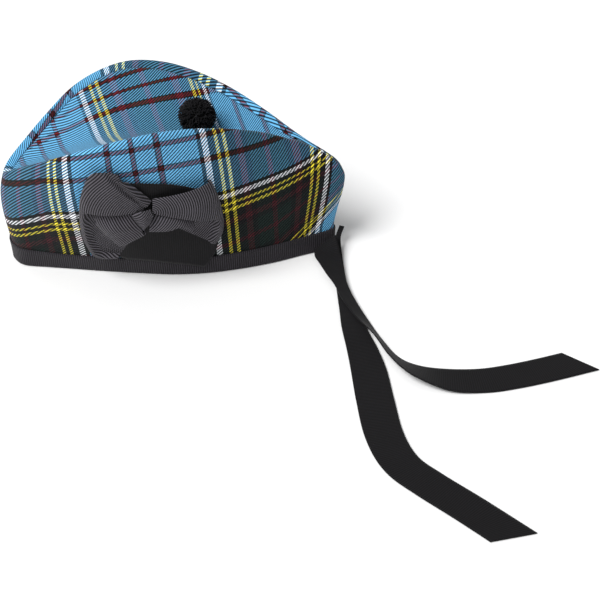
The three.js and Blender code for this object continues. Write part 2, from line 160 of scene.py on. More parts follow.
def curve_through(rows, at):
    """Smooth value of every column at positions along rows that have two spare ones at each end."""
    at = np.asarray(at, float)
    i = np.clip(np.floor(at).astype(int), -1, len(rows) - 5)
    f = (at - i)[..., None]
    a, b, c, d = (rows[i + k] for k in (1, 2, 3, 4))
    return b + 0.5 * f * (c - a + f * (2 * a - 5 * b + 4 * c - d + f * (3 * (b - c) + d - a)))


# Past either end the sections come back on the other side of the cap.
OTHER_SIDE = np.array([1, -1, 1, -1, 1, 1, 1, 1], float)
ALL_SECTIONS = np.vstack([
    SECTIONS[2] * OTHER_SIDE, SECTIONS[1] * OTHER_SIDE, SECTIONS,
    SECTIONS[-2] * OTHER_SIDE, SECTIONS[-3] * OTHER_SIDE,
])


def section(t):
    """The sections' columns at places t along the cap, from 0 at the front seam to LAST at the back."""
    return curve_through(ALL_SECTIONS, t)


def outward(t, x_of, y_of):
    """Level unit vectors out of the left panel, square to the line that two columns draw."""
    step = 0.02
    before, after = section(np.asarray(t) - step), section(np.asarray(t) + step)
    along_x, along_y = x_of(after) - x_of(before), -y_of(after) + y_of(before)
    out = np.stack([along_y, -along_x, 0 * along_x], -1)
    return out / np.linalg.norm(out, axis=-1, keepdims=True)


def out_of_ridge(t):
    return outward(t, lambda s: s[..., RIDGE_X], lambda s: s[..., RIDGE_Y])


def out_of_rim(t):
    return outward(t, lambda s: s[..., RIM_X], lambda s: s[..., RIM_Y])


def out_of_middle(t):
    return outward(
        t, lambda s: s[..., RIM_X] + s[..., RIDGE_X], lambda s: s[..., RIM_Y] + s[..., RIDGE_Y])


def side_point(t, up):
    """The left panel's outside between the rim (up = 0) and the start of the roll (up = 1)."""
    t, up = np.broadcast_arrays(np.asarray(t, float), np.asarray(up, float))
    s = section(t)
    rim = np.stack([s[..., RIM_X], -s[..., RIM_Y], 0 * t], -1)
    top = np.stack([s[..., RIDGE_X], -s[..., RIDGE_Y], s[..., RIDGE_Z] - ROLL], -1)
    swell = CUBIC_PEAK * up * (1 - up) * (s[..., BULGE] * up - s[..., TUCK] * (1 - up))
    return rim + (top - rim) * up[..., None] + out_of_middle(t) * swell[..., None]


def cap_shift():
    """The step by which the source moves the cap to centre it over the origin."""
    left_low, right_high = np.array(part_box("side_left")[0]), np.array(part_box("side_right")[1])
    panel = side_point(np.linspace(0, LAST, 45)[:, None], np.linspace(0, 1, 9)[None, :])
    return np.array([
        left_low[0] / MM - panel[..., 0].min(), (left_low[1] + right_high[1]) / 2 / MM, 0.0])


SHIFT = cap_shift()


def crown_slope(s):
    """How steeply the crown falls away inside the ridge, in radians."""
    reach = np.maximum(s[..., RIDGE_Y] - ROLL - ROLL_REACH, ROLL)
    return np.arctan(CROWN_HOLLOW * s[..., DROP] / reach)


def roll_at(t, length):
    """The cloth over the ridge, at a length past the start of the roll."""
    t, length = np.broadcast_arrays(np.asarray(t, float), np.asarray(length, float))
    s = section(t)
    out = out_of_ridge(t)
    slope = crown_slope(s)
    turn = np.minimum(length / ROLL, math.pi / 2 + slope)
    past = length - turn * ROLL
    point = np.stack([s[..., RIDGE_X], -s[..., RIDGE_Y], s[..., RIDGE_Z] - ROLL], -1)
    point = point + out * (ROLL * np.cos(turn) - ROLL - past * np.cos(slope))[..., None]
    point[..., 2] += ROLL * np.sin(turn) - past * np.sin(slope)
    return point


def roll_length(t):
    """How much cloth runs over the ridge before the crown's seam, or before the two panels meet."""
    whole = ROLL * (math.pi / 2 + crown_slope(section(t))) + ROLL_REACH
    tries = np.linspace(0, 1, 121)
    crossed = roll_at(t[:, None], whole[:, None] * tries)[..., 1] > -GAP / 2
    stop = np.where(crossed.any(1), np.maximum(crossed.argmax(1) - 1, 0), len(tries) - 1)
    length = whole * tries[stop]
    length[[0, -1]] = length[[1, -2]]
    return length


def grid_normals(grid):
    """Unit normals of a grid of points."""
    normals = np.cross(np.gradient(grid, axis=0), np.gradient(grid, axis=1))
    return normals / np.maximum(np.linalg.norm(normals, axis=-1, keepdims=True), 1e-9)


def piece(name, points, faces, material, node, uv):
    """A mesh piece of the cap from points in millimetres of the source's own place."""
    mesh = bpy.data.meshes.new(name)
    places = ((np.asarray(points) + SHIFT) * MM).tolist()
    mesh.from_pydata(places, [], [list(map(int, face)) for face in faces])
    corners = np.zeros(len(mesh.loops), int)
    mesh.loops.foreach_get("vertex_index", corners)
    for layer_name, values in uv.items():
        layer = mesh.uv_layers.new(name=layer_name)
        layer.data.foreach_set("uv", np.asarray(values, float).reshape(-1, 2)[corners].ravel())
    mesh.polygons.foreach_set("use_smooth", [True] * len(mesh.polygons))
    mesh.materials.append(material)
    mesh.validate()
    made = bpy.data.objects.new(name, mesh)
    bpy.context.collection.objects.link(made)
    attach(made, "root")
    if node:
        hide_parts(node)
    return made


def sheet_faces(rows, columns):
    """Faces of a sheet with two sides and closed edges: its outer grid first, then its inner one."""
    index = np.arange(rows * columns).reshape(rows, columns)
    a, b, c, d = index[:-1, :-1], index[1:, :-1], index[1:, 1:], index[:-1, 1:]
    outside = np.stack([a, b, c, d], -1).reshape(-1, 4)
    inside = outside[:, ::-1] + rows * columns
    ring = np.concatenate([index[0, :-1], index[:-1, -1], index[-1, :0:-1], index[:0:-1, 0]])
    after = np.roll(ring, -1)
    edge = np.stack([ring, after, after + rows * columns, ring + rows * columns], -1)
    return np.concatenate([outside, inside, edge])


def sheet(name, outer, inner, material, node, uv):
    """A piece of cloth or ribbon between an outer and an inner grid of points."""
    rows, columns = outer.shape[:2]
    points = np.concatenate([outer.reshape(-1, 3), inner.reshape(-1, 3)])
    both = {layer: np.concatenate([values.reshape(-1, 2)] * 2) for layer, values in uv.items()}
    return piece(name, points, sheet_faces(rows, columns), material, node, both)


def strip(name, rings, material, node, uv, closed=False):
    """A solid swept through sections of equal count, round in a ring or with capped ends."""
    count, sides = rings.shape[:2]
    index = np.arange(count * sides).reshape(count, sides)
    after = np.roll(index, -1, 0) if closed else index[1:]
    here = index if closed else index[:-1]
    corners = np.stack([here, np.roll(here, -1, 1), np.roll(after, -1, 1), after], -1)
    faces = corners.reshape(-1, 4).tolist()
    if not closed:
        faces += [index[0, ::-1].tolist(), index[-1].tolist()]
    return piece(name, rings.reshape(-1, 3), faces, material, node, uv)


# Numbers of the mix node's sockets, which share their names
VALUE_FACTOR, VALUE_A, VALUE_B = 0, 2, 3
COLOUR_A, COLOUR_B, COLOUR_OUT = 6, 7, 2


class Nodes:
    """Short ways to place shader nodes in a tree and join them."""

    def __init__(self, tree):
        self.tree = tree

    def place(self, kind, inputs=(), **settings):
        node = self.tree.nodes.new(kind)
        for name, value in settings.items():
            setattr(node, name, value)
        for socket, value in dict(inputs).items():
            if isinstance(value, bpy.types.NodeSocket):
                self.tree.links.new(value, node.inputs[socket])
            else:
                node.inputs[socket].default_value = value
        return node

    def math(self, operation, a, b=0.0, c=0.0):
        return self.place("ShaderNodeMath", {0: a, 1: b, 2: c}, operation=operation).outputs[0]

    def mix(self, factor, a, b, kind="MIX"):
        node = self.place("ShaderNodeMix", {"Factor": factor, COLOUR_A: a, COLOUR_B: b},
                          data_type="RGBA", blend_type=kind)
        return node.outputs[COLOUR_OUT]

    def noise(self, scale):
        coords = self.place("ShaderNodeTexCoord").outputs["Object"]
        return self.place("ShaderNodeTexNoise", {
            "Vector": coords, "Scale": scale, "Detail": 3.0, "Roughness": 0.5,
        }).outputs["Fac"]

    def uneven(self, scale):
        """A factor on a colour, up to a quarter over or under one."""
        return self.math("MULTIPLY_ADD", self.noise(scale), 0.5, 0.75)


def group(name, inputs, outputs):
    """A node group with number inputs and their defaults, and outputs of the kinds given."""
    tree = bpy.data.node_groups.new(name, "ShaderNodeTree")
    for socket, default in inputs.items():
        made = tree.interface.new_socket(socket, in_out="INPUT", socket_type="NodeSocketFloat")
        made.default_value = default
    for socket, kind in outputs.items():
        tree.interface.new_socket(socket, in_out="OUTPUT", socket_type=kind)
    nodes = Nodes(tree)
    return nodes, nodes.place("NodeGroupInput"), nodes.place("NodeGroupOutput")


def rgb(red, green, blue):
    """A colour given as it looks on a screen, from 0 to 255, in the shader's own linear values."""
    channels = [c / 255 for c in (red, green, blue)]
    return tuple(c / 12.92 if c < 0.04045 else ((c + 0.055) / 1.055) ** 2.4 for c in channels) + (1.0,)


# Yarn colours
SKY = rgb(98, 168, 212)
BLACK = rgb(20, 19, 26)
RED = rgb(112, 24, 32)
WHITE = rgb(244, 245, 250)
YELLOW = rgb(240, 222, 56)
WINE = rgb(104, 26, 40)
GREEN = rgb(18, 52, 46)

# Half of the tartan's repeat, in threads from one turning point to the other
HALF_SETT = [
    (1.5, RED), (1.5, BLACK), (24, SKY), (1.5, BLACK), (5, RED), (1.5, BLACK), (46, SKY), (5.5, BLACK),
    (8, WHITE), (9, BLACK), (5, YELLOW), (6, BLACK), (5, YELLOW), (12, BLACK), (9, WINE), (7, BLACK),
    (22, GREEN), (3.5, WINE),
]
HALF_THREADS = sum(count for count, _ in HALF_SETT)

# The twill: threads in its step, where its wales stand highest, how round a thread is, and how much of
# the thread below shows through
TWILL_STEP = 4.0
WALE_PHASE = 0.95
THREAD_ROUND = 3.2
UNDER_SHOWS = 0.1


def stripe_colours(nodes, place):
    """Colour of the stripe at a place, there and back along the half repeat."""
    there = nodes.math("PINGPONG", place, HALF_THREADS)
    ramp = nodes.place("ShaderNodeValToRGB", {"Fac": nodes.math("DIVIDE", there, HALF_THREADS)})
    ramp.color_ramp.interpolation = "CONSTANT"
    stops = ramp.color_ramp.elements
    stops.remove(stops[1])
    past = 0.0
    for i, (count, colour) in enumerate(HALF_SETT):
        stop = stops[0] if i == 0 else stops.new(past / HALF_THREADS)
        stop.color = colour
        past += count
    return ramp.outputs["Color"]


def tartan_weave():
    """Stripes both ways in a two and two twill: which thread is on top, and how the wales stand up."""
    nodes, take, give = group(
        "tartan weave",
        {"Warp stripe": 0.0, "Weft stripe": 0.0, "Warp thread": 0.0, "Weft thread": 0.0},
        {"Color": "NodeSocketColor", "Height": "NodeSocketFloat", "Wale": "NodeSocketFloat",
         "Over": "NodeSocketFloat", "Under": "NodeSocketFloat"})
    warp, weft = take.outputs["Warp thread"], take.outputs["Weft thread"]
    step = nodes.math("SUBTRACT", nodes.math("FLOOR", warp), nodes.math("FLOOR", weft))
    place = nodes.math("FRACT", nodes.math("DIVIDE", step, TWILL_STEP))
    warp_on_top = nodes.math("LESS_THAN", place, 0.49)
    warp_colour = stripe_colours(nodes, take.outputs["Warp stripe"])
    weft_colour = stripe_colours(nodes, take.outputs["Weft stripe"])
    over = nodes.mix(warp_on_top, weft_colour, warp_colour)
    under = nodes.mix(warp_on_top, warp_colour, weft_colour)
    colour = nodes.mix(UNDER_SHOWS, over, under)
    wale = nodes.math("MULTIPLY", nodes.math("SUBTRACT", warp, weft), 2 * math.pi / TWILL_STEP)
    wale = nodes.math("SINE", nodes.math("SUBTRACT", wale, WALE_PHASE))
    wale = nodes.math("MULTIPLY_ADD", wale, 0.5, 0.5)

    def round_thread(value):
        across = nodes.math("SUBTRACT", nodes.math("FRACT", value), 0.5)
        fall = nodes.math("MULTIPLY", nodes.math("MULTIPLY", across, across), THREAD_ROUND)
        return nodes.math("SUBTRACT", 1.0, fall)

    height = nodes.place("ShaderNodeMix", {
        VALUE_FACTOR: warp_on_top, VALUE_A: round_thread(weft), VALUE_B: round_thread(warp)})
    nodes.tree.links.new(colour, give.inputs["Color"])
    nodes.tree.links.new(height.outputs[0], give.inputs["Height"])
    nodes.tree.links.new(wale, give.inputs["Wale"])
    for name, thread in (("Over", over), ("Under", under)):
        grey = nodes.place("ShaderNodeRGBToBW", {0: thread}).outputs[0]
        nodes.tree.links.new(grey, give.inputs[name])
    return nodes.tree


def ribbon_ribs():
    """Round ribs across a ribbon, with their height and a shade value for painting their grooves
    darker.
    """
    nodes, take, give = group(
        "ribbon ribs", {"Along": 0.0}, {"Height": "NodeSocketFloat", "Shade": "NodeSocketFloat"})
    wave = nodes.math("SINE", nodes.math("MULTIPLY", take.outputs["Along"], 2 * math.pi))
    height = nodes.math("MULTIPLY_ADD", wave, 0.5, 0.5)
    nodes.tree.links.new(height, give.inputs["Height"])
    nodes.tree.links.new(nodes.math("POWER", height, 1.5), give.inputs["Shade"])
    return nodes.tree


def finish(name):
    """A material with its shader, and the two counts of its cloth lay."""
    material = bpy.data.materials.new(name)
    material.use_nodes = True
    nodes = Nodes(material.node_tree)
    shader = material.node_tree.nodes["Principled BSDF"]
    uv = nodes.place("ShaderNodeUVMap", uv_map="cloth").outputs[0]
    split = nodes.place("ShaderNodeSeparateXYZ", {0: uv})
    return material, nodes, shader, split.outputs


def tartan_finish(name, weave, light, wale_shade_depth, shade_beside_dark):
    """Tartan with shade painted into its colour: each twill wale is darker along one side, and threads
    lying beside dark ones are darker.
    """
    material, nodes, shader, (warp_stripe, weft_stripe, _) = finish(name)
    yarn = nodes.place("ShaderNodeUVMap", uv_map="yarn").outputs[0]
    warp, weft, _ = nodes.place("ShaderNodeSeparateXYZ", {0: yarn}).outputs
    cloth = nodes.place("ShaderNodeGroup", node_tree=weave)
    for socket, value in (("Warp stripe", warp_stripe), ("Weft stripe", weft_stripe),
                          ("Warp thread", warp), ("Weft thread", weft)):
        nodes.tree.links.new(value, cloth.inputs[socket])
    worn = nodes.uneven(900)
    # Painted shade: each wale is darkened along one side, as if shaded in the groove between wales.
    painted_wale_shade = nodes.math("MULTIPLY_ADD", cloth.outputs["Wale"], wale_shade_depth, light - wale_shade_depth / 2)
    # Painted shade: a thread is darkened where the threads over and under it are dark.
    beside = nodes.math("MULTIPLY_ADD", cloth.outputs["Under"], 3 * shade_beside_dark, 1 - shade_beside_dark)
    beside = nodes.math("MINIMUM", nodes.math("MULTIPLY_ADD", cloth.outputs["Over"], 0.6, beside), 1.0)
    shade = nodes.math("MULTIPLY", nodes.math("MULTIPLY", worn, painted_wale_shade), beside)
    colour = nodes.mix(1.0, cloth.outputs["Color"], shade, "MULTIPLY")
    raised = nodes.math("MULTIPLY_ADD", cloth.outputs["Height"], 0.4, cloth.outputs["Wale"])
    bump = nodes.place("ShaderNodeBump", {"Height": raised, "Strength": 0.6, "Distance": 0.0004})
    nodes.tree.links.new(colour, shader.inputs["Base Color"])
    nodes.tree.links.new(bump.outputs[0], shader.inputs["Normal"])
    shader.inputs["Roughness"].default_value = 0.9
    shader.inputs["Specular IOR Level"].default_value = 0.15
    shader.inputs["Sheen Weight"].default_value = 0.08
    shader.inputs["Sheen Roughness"].default_value = 0.5
    return material


def ribbon_finish(name, ribs, colour, depth, roughness):
    """Black ribbon whose ribs stand out by bump depth, and by shade painted into the grooves between
    them.
    """
    material, nodes, shader, (along, _, _) = finish(name)
    rib = nodes.place("ShaderNodeGroup", node_tree=ribs)
    nodes.tree.links.new(along, rib.inputs["Along"])
    # Painted shade: the grooves between ribs are darkened to almost black.
    dark = tuple(c * 0.02 for c in colour[:3]) + (1.0,)
    shade = nodes.mix(rib.outputs["Shade"], dark, colour)
    patchy = nodes.mix(1.0, shade, nodes.uneven(60), "MULTIPLY")
    nodes.tree.links.new(patchy, shader.inputs["Base Color"])
    bump = nodes.place("ShaderNodeBump", {
        "Height": rib.outputs["Height"], "Strength": depth, "Distance": 0.0006})
    nodes.tree.links.new(bump.outputs[0], shader.inputs["Normal"])
    shader.inputs["Roughness"].default_value = roughness
    shader.inputs["Specular IOR Level"].default_value = 0.2
    shader.inputs["Sheen Weight"].default_value = 0.05
    return material


def wool_finish():
    """Black wool with painted shade: each strand is darker towards its root, deep inside the ball."""
    material, nodes, shader, (along, _, _) = finish("black wool")
    speck = nodes.noise(1500)
    # Painted shade: each strand darkens from its tip towards its root, with random specks towards the
    # tip.
    colour = nodes.mix(nodes.math("MULTIPLY", speck, along), rgb(4, 4, 6), rgb(24, 22, 26))
    nodes.tree.links.new(colour, shader.inputs["Base Color"])
    bump = nodes.place("ShaderNodeBump", {"Height": speck, "Strength": 0.5, "Distance": 0.0003})
    nodes.tree.links.new(bump.outputs[0], shader.inputs["Normal"])
    shader.inputs["Roughness"].default_value = 0.95
    shader.inputs["Specular IOR Level"].default_value = 0.15
    shader.inputs["Sheen Weight"].default_value = 0.05
    return material


weave = tartan_weave()
ribs = ribbon_ribs()
tartan = tartan_finish("tartan cloth", weave, light=0.8, wale_shade_depth=1.6, shade_beside_dark=0.78)
# The crown's copy of the same tartan, with its own strengths of painted light and painted shade,
# because the top of the cap is lit differently.
crown_tartan_shade_copy = tartan_finish("crown tartan cloth with its own painted shade", weave, light=0.68, wale_shade_depth=1.3, shade_beside_dark=0.15)
grosgrain = ribbon_finish("black grosgrain", ribs, rgb(96, 92, 100), depth=1.0, roughness=0.7)
band_ribbon = ribbon_finish("black band ribbon", ribs, rgb(54, 50, 57), depth=0.6, roughness=0.7)
tail_ribbon = ribbon_finish("black tail ribbon", ribs, rgb(20, 18, 22), depth=0.15, roughness=0.8)
wool = wool_finish()

CAMERA_EYE = np.array([52.4, -974.4, 639.1])
CAMERA_TARGET = np.array([98.3, -79.5, 0.0])
CAMERA_ANGLE = 24


def place_camera():
    """The camera at the photo's viewing angle."""
    eye = (CAMERA_EYE + SHIFT) * MM
    target = (CAMERA_TARGET + SHIFT) * MM
    data = bpy.data.cameras.new("camera")
    data.sensor_width = 36
    data.angle = math.radians(CAMERA_ANGLE)
    data.clip_end = 20
    made = bpy.data.objects.new("camera", data)
    made.location = eye
    made.rotation_euler = Vector(target - eye).to_track_quat("-Z", "Y").to_euler()
    bpy.context.collection.objects.link(made)
    bpy.context.scene.camera = made


def tail_at(rows, at):
    """Edge line, reach across and face of a tail at positions along its rows."""
    rows = np.array(rows, float)
    spare = np.vstack([rows[0], rows[0], rows, rows[-1], rows[-1]])
    last = len(rows) - 1
    here = curve_through(spare, at)
    step = 0.1
    before = curve_through(spare, np.maximum(at - step, 0))
    after = curve_through(spare, np.minimum(at + step, last - 1e-6))
    ahead = (after - before)[:, :3]
    ahead /= np.linalg.norm(ahead, axis=1, keepdims=True)
    side = np.stack([ahead[:, 1], -ahead[:, 0], 0 * ahead[:, 0]], 1)
    side /= np.linalg.norm(side, axis=1, keepdims=True)
    edge, tilt, width, cut = np.split(here, [3, 4, 5], axis=1)
    tilt = np.radians(tilt)
    reach = side * np.cos(tilt) + np.array([0, 0, 1]) * np.sin(tilt)
    return edge, reach * width + ahead * cut, np.cross(ahead, reach)


def tail(name, rows):
    """One tail: a limp flat ribbon along its route."""
    last = len(rows) - 1
    edge, across, face = tail_at(rows, np.linspace(0, last, last * TAIL_STEPS + 1))
    f = np.linspace(0, 1, TAIL_COLUMNS)
    lines = edge[:, None] + across[:, None] * f[:, None]
    middle = lines[:, TAIL_MIDDLE]
    top, under = (lines + face[:, None] * RIBBON / 2 * k for k in (1, -1))
    rings = np.concatenate([top, under[:, ::-1]], 1)
    run = np.concatenate([[0], np.linalg.norm(np.diff(middle, axis=0), axis=1).cumsum()])
    uv = np.zeros(rings.shape[:2] + (2,))
    uv[..., 0] = run[:, None] / TAIL_RIB_PITCH
    uv[..., 1] = np.concatenate([f, f[::-1]])
    made = strip(name + "_ribbon", rings, tail_ribbon, name, {"cloth": uv})


# Heights on the left panel of the lower red line, the white stripe, the yellow pair and the next pair
# below, by length along the cap, with the weft thread that each line is.
STRIPE_LAY_X = [-134, -91, -46, -4, 44, 82, 118, 139]
STRIPE_LAY = [
    (-31, [71, 97, 108, 111, 111, 109, 106, 104]),
    (-90, [36.5, 61, 69.5, 72, 74.5, 80, 86.7, 90]),
    (-112, [27, 49, 58, 60.5, 63.5, 71, 81, 85]),
    (-234, [-45, -25, -18, -15, -12, 3, 35, 54]),
]

# Where the warp's repeat turns on each panel; how it leans, and near the back seam leans back and is
# drawn in
LEFT_START_X, RIGHT_START_X = -20.0, -100.0
WARP_LEAN, LEAN_BACK = 0.05, 0.25
LEAN_BACK_FROM, LEAN_BACK_TO = 80, 120
LEAN_LEVEL = 70
DRAWN_IN, DRAWN_FROM, DRAWN_OVER = 9, 104, 30


def cloth_lay(t, points, start_x):
    """Stripes both ways on a side panel, with the warp's turning point at a length along the cap."""
    x, z = points[..., 0], points[..., 2]
    places = np.linspace(0, LAST, PLAN_STEPS)
    plan = side_point(places, 0.6)
    run = np.concatenate([[0], np.linalg.norm(np.diff(plan[:, :2], axis=0), axis=1).cumsum()])
    run -= np.interp(start_x, plan[:, 0], run)
    lean = WARP_LEAN - LEAN_BACK * smooth(x, LEAN_BACK_FROM, LEAN_BACK_TO)
    drawn = DRAWN_IN * np.maximum((x - DRAWN_FROM) / DRAWN_OVER, 0) ** 2
    warp = (np.interp(t, places, run) + drawn + lean * (z - LEAN_LEVEL)) / WARP_PITCH
    threads = np.array([thread for thread, _ in STRIPE_LAY], float)
    heights = np.stack([np.interp(x, STRIPE_LAY_X, row) for _, row in STRIPE_LAY], -1)
    weft = np.zeros_like(x)
    for k in range(len(threads) - 1):
        above, below = heights[..., k], heights[..., k + 1]
        value = threads[k] + (above - z) / (above - below) * (threads[k + 1] - threads[k])
        weft = np.where((z <= above) | (k == 0), value, weft)
    return np.stack([warp, weft], -1)


def yarn_lay(grid):
    """Counts of the threads over a grid of cloth, by the lengths of its rows and columns."""
    def lengths(axis):
        steps = np.linalg.norm(np.diff(grid, axis=axis), axis=-1).cumsum(axis)
        return np.concatenate([np.zeros_like(np.take(steps, [0], axis)), steps], axis)

    middle = lengths(0)[:, grid.shape[1] // 2, None]
    along = np.broadcast_to(middle, grid.shape[:2])
    return np.stack([along / WARP_THREAD, lengths(1) / WEFT_THREAD], -1)


def side_panels():
    """The two tartan panels, from the foot inside the binding up and over the ridges."""
    t = np.linspace(0, LAST, STATIONS)
    foot = CLOTH_FOOT / section(t)[:, RIDGE_Z]
    up = foot[:, None] + (1 - foot[:, None]) * np.linspace(0, 1, PANEL_COLUMNS)
    side = side_point(t[:, None], up)
    f = np.linspace(0, 1, ROLL_COLUMNS + 1)[1:]
    length = roll_length(t)
    roll = roll_at(t[:, None], length[:, None] * f)
    outer = np.concatenate([side, roll], 1)
    lay, other_lay = (cloth_lay(t[:, None], outer, x) for x in (LEFT_START_X, RIGHT_START_X))
    for one in (lay, other_lay):
        past = length[:, None] * f / ROLL_WEFT_PITCH
        one[:, PANEL_COLUMNS:, 1] = one[:, TOP_COLUMN, None, 1] + past
    yarn = yarn_lay(outer)
    normals = panel_normals(t, length, outer)
    outer = outer - normals * seam_dips(outer)[..., None]
    inner = outer - normals * CLOTH
    outer[..., 1] = np.minimum(outer[..., 1], -GAP / 2)
    inner[..., 1] = np.minimum(inner[..., 1], -GAP / 2)
    left = sheet("side_left_cloth", outer, inner, tartan, "side_left", {"cloth": lay, "yarn": yarn})
    flip, back = np.array([1, -1, 1]), np.array([-1, 1])
    right = sheet("side_right_cloth", (outer * flip)[::-1], (inner * flip)[::-1], tartan, "side_right",
                  {"cloth": other_lay[::-1], "yarn": (yarn * back)[::-1]})


def panel_normals(t, length, grid):
    """Normals of the left panel, kept outward where its rows draw together at the back seam."""
    normals = grid_normals(grid)
    out = np.broadcast_to(out_of_middle(t)[:, None], normals.shape)
    least_out, short_roll = 0.3, 2
    turned = (normals * out).sum(-1, keepdims=True) < least_out
    turned[:, PANEL_COLUMNS:] = False
    normals = np.where(turned, out, normals)
    on_roll = np.arange(grid.shape[1]) >= PANEL_COLUMNS
    short = (length < short_roll)[:, None, None] & on_roll[None, :, None]
    return np.where(short, normals[:, TOP_COLUMN:PANEL_COLUMNS], normals)


def seam_dip(gap):
    """Depth to which the cloth is pulled in at a distance from a seam."""
    return SEAM_DIP * np.exp(-(gap / SEAM_REACH) ** 2)


def seam_dips(grid):
    """Depth to which a panel is pulled in along the front, back and crown seams."""
    front = np.linalg.norm(grid - grid[:1], axis=-1)
    back = np.linalg.norm(grid - grid[-1:], axis=-1)
    top = np.linalg.norm(grid - grid[:, -1:], axis=-1)
    return sum(seam_dip(gap) for gap in (front, back, top))


# The crown's lengthwise lines by place across it, with the weft thread that each one is, and its
# crosswise stripes by place along it, with the warp thread.
CROWN_LINES = [(-80, -82), (0, -70), (36, -31), (51.5, 0), (66, 31), (96, 90)]
CROWN_STRIPES = [
    (-160, -110), (-98, 0), (-55, 90), (-41, 117), (33, 230), (41, 256), (60, 315), (110, 400),
]
LINE_SLANT, STRIPE_SLANT = 0.16, 0.3
CROWN_LEAST_REACH = 1.2


def crown_top():
    """The crown's cloth between the two ridges, hollowed lengthwise."""
    t = np.linspace(0, LAST, STATIONS)
    seam = roll_at(t, roll_length(t)) - out_of_ridge(t) * GAP
    wide = np.flatnonzero(-seam[:, 1] > CROWN_LEAST_REACH)
    t, seam = t[wide[0]:wide[-1] + 1], seam[wide[0]:wide[-1] + 1]
    across = np.linspace(-1, 1, CROWN_COLUMNS)
    hollow = section(t)[:, DROP, None] * (1 - np.abs(across) ** CROWN_HOLLOW)
    along = np.broadcast_to(seam[:, :1], hollow.shape)
    upper = np.stack([along, -seam[:, 1:2] * across, seam[:, 2:] - hollow], -1)
    steps = np.linalg.norm(np.diff(upper, axis=1), axis=-1)
    run = np.concatenate([np.zeros((len(t), 1)), steps.cumsum(1)], 1)
    run -= run[:, CROWN_COLUMNS // 2, None]
    places, threads = zip(*CROWN_STRIPES)
    warp = np.interp(along + STRIPE_SLANT * run, places, threads)
    places, threads = zip(*CROWN_LINES)
    weft = np.interp(run - LINE_SLANT * along, places, threads)
    yarn = yarn_lay(upper)
    edge = np.minimum(*(np.linalg.norm(upper - upper[:, k, None], axis=-1) for k in (0, -1)))
    upper = upper - grid_normals(upper) * seam_dip(edge)[..., None]
    lower = upper - grid_normals(upper) * CLOTH
    sheet("crown_cloth", upper, lower, crown_tartan_shade_copy, "crown",
                  {"cloth": np.stack([warp, weft], -1), "yarn": yarn})


def binding_ribbon():
    """Ribbon folded over the rim, all the way round."""
    t = np.linspace(0, LAST, STATIONS)
    fold_level, fold_depth, straight_from = 1.2, 0.7, 2
    edge_turn, edge_depth = 0.35, 1.2
    outside, inside = EASE + RIBBON / 2, -CLOTH - 1.5 * EASE - RIBBON / 2
    turn = np.linspace(math.pi, 2 * math.pi, 11)
    middle, reach = (outside + inside) / 2, (outside - inside) / 2
    fold = [(middle + reach * math.cos(a), fold_level + fold_depth * math.sin(a)) for a in turn]
    line = [(inside, z) for z in np.linspace(BINDING_INSIDE, straight_from, 5)] + fold
    line += [(outside, z) for z in np.linspace(straight_from, BINDING_HEIGHT - edge_depth, 9)]
    line += [(outside - edge_turn, BINDING_HEIGHT)]
    line = np.array(line)
    square = np.gradient(line, axis=0)
    square = np.stack([square[:, 1], -square[:, 0]], 1)
    square /= np.linalg.norm(square, axis=1, keepdims=True)
    around = np.concatenate([line + square * RIBBON / 2, (line - square * RIBBON / 2)[::-1]])
    out = out_of_rim(t)
    up = around[:, 1] / (section(t)[:, RIDGE_Z, None] - ROLL)
    ring = side_point(t[:, None], up) + out[:, None] * around[:, :1]
    ring[1:-1, :, 1] = np.minimum(ring[1:-1, :, 1], -GAP)
    ring[0, :, 1] = ring[-1, :, 1] = 0
    run = np.concatenate([[0], np.linalg.norm(np.diff(side_point(t, 0.1), axis=0), axis=1).cumsum()])
    rings = np.concatenate([ring, (ring * np.array([1, -1, 1]))[-2:0:-1]])
    along = np.concatenate([run, (2 * run[-1] - run)[-2:0:-1]])
    uv = np.zeros(rings.shape[:2] + (2,))
    uv[..., 0] = along[:, None] / BAND_RIB_PITCH
    uv[..., 1] = around[:, 1]
    made = strip("binding_ribbon", rings, band_ribbon, "binding", {"cloth": uv}, closed=True)


def off_panel(x, z, height):
    """Points at a height off the left panel, over its places at length x and level z."""
    x, z, height = np.broadcast_arrays(*(np.asarray(v, float) for v in (x, z, height)))
    low, high = np.zeros(x.shape), np.full(x.shape, float(LAST))
    halvings, step, step_up = 22, 0.05, 0.02
    for _ in range(halvings):
        t = (low + high) / 2
        short = side_point(t, z / (section(t)[..., RIDGE_Z] - ROLL))[..., 0] < x
        low, high = np.where(short, t, low), np.where(short, high, t)
    up = z / (section(low)[..., RIDGE_Z] - ROLL)
    along = side_point(low + step, up) - side_point(low - step, up)
    rise = side_point(low, up + step_up) - side_point(low, up - step_up)
    out = np.cross(along, rise)
    out /= np.linalg.norm(out, axis=-1, keepdims=True)
    return side_point(low, up) + out * height[..., None]


BOW_LIFT = 2.2

# The flat ribbon behind the bow: length along the cap, lower edge and upper edge.
BACK_SHEET = [
    (-56, 27, 92), (-36, 19, 104), (-17, 17.5, 101), (2, 14, 97),
    (12, 12, 93), (24, 8.5, 87), (33, 23, 82), (37, 41, 74),
]

# A loop's way from the knot: share of the distance to its rim and height off the panel; it turns under
# at the rim.
LOOP_PROFILE = [(0, 8.5), (0.3, 11.5), (0.6, 13), (0.85, 11.5), (0.96, 9), (1.0, 6.2), (0.95, 4.2)]

# The loops' places on the panel round from the upper edge: at the knot, then at the rim.
FRONT_LOOP = [
    ((-18, 83), (-35.5, 113)), ((-18.5, 82), (-44.5, 115.5)), ((-19, 81), (-54.3, 114)),
    ((-19.5, 80), (-61.4, 100.4)), ((-20, 79), (-65.9, 82.3)), ((-20, 75), (-68.3, 55.4)),
    ((-20, 71), (-66.5, 36)), ((-20, 67), (-60, 21)), ((-19, 64), (-44, 20)),
]
BACK_LOOP = [
    ((-12.6, 89), (30.8, 95.6)), ((-13, 83), (35.8, 79.4)), ((-13.5, 76.5), (38.8, 61)),
    ((-13.5, 72), (38.3, 43.3)), ((-14, 68), (33, 32)),
]

